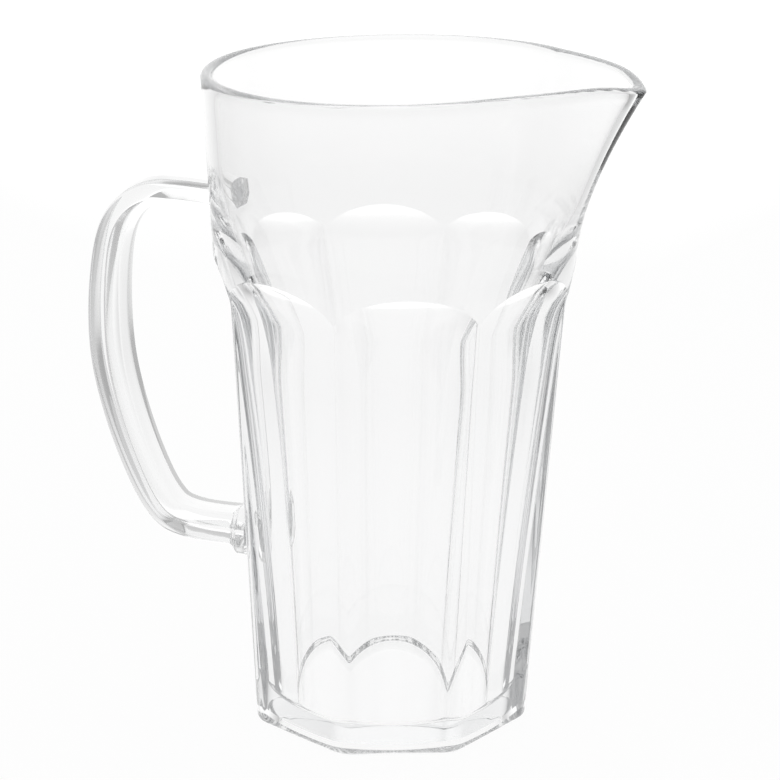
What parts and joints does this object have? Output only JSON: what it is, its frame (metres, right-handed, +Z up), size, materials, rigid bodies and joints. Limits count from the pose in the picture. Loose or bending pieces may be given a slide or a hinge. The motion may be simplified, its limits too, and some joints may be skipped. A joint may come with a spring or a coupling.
{
  "type": "glass water pitcher",
  "caption": "Clear pressed-glass pitcher: tapered panelled body under arched ledges, round collar, drawn-out pouring lip and a stuck-on bar handle, for serving water",
  "frame": {"origin": "on the table plane, under the middle of the whole part, halfway from the lip's tip to the back of the handle", "axes": "+Z up along the vessel's axis, +X from the handle toward the pouring lip, +Y across the vessel"},
  "size_m": [0.2082, 0.137, 0.2435],
  "materials": {
    "pressed_glass": "clear, fire polished",
    "bar_glass": "clear, fire polished"
  },
  "bodies": {
    "root": {"vessel": "pressed_glass", "handle": "bar_glass"}
  },
  "joints": []
}
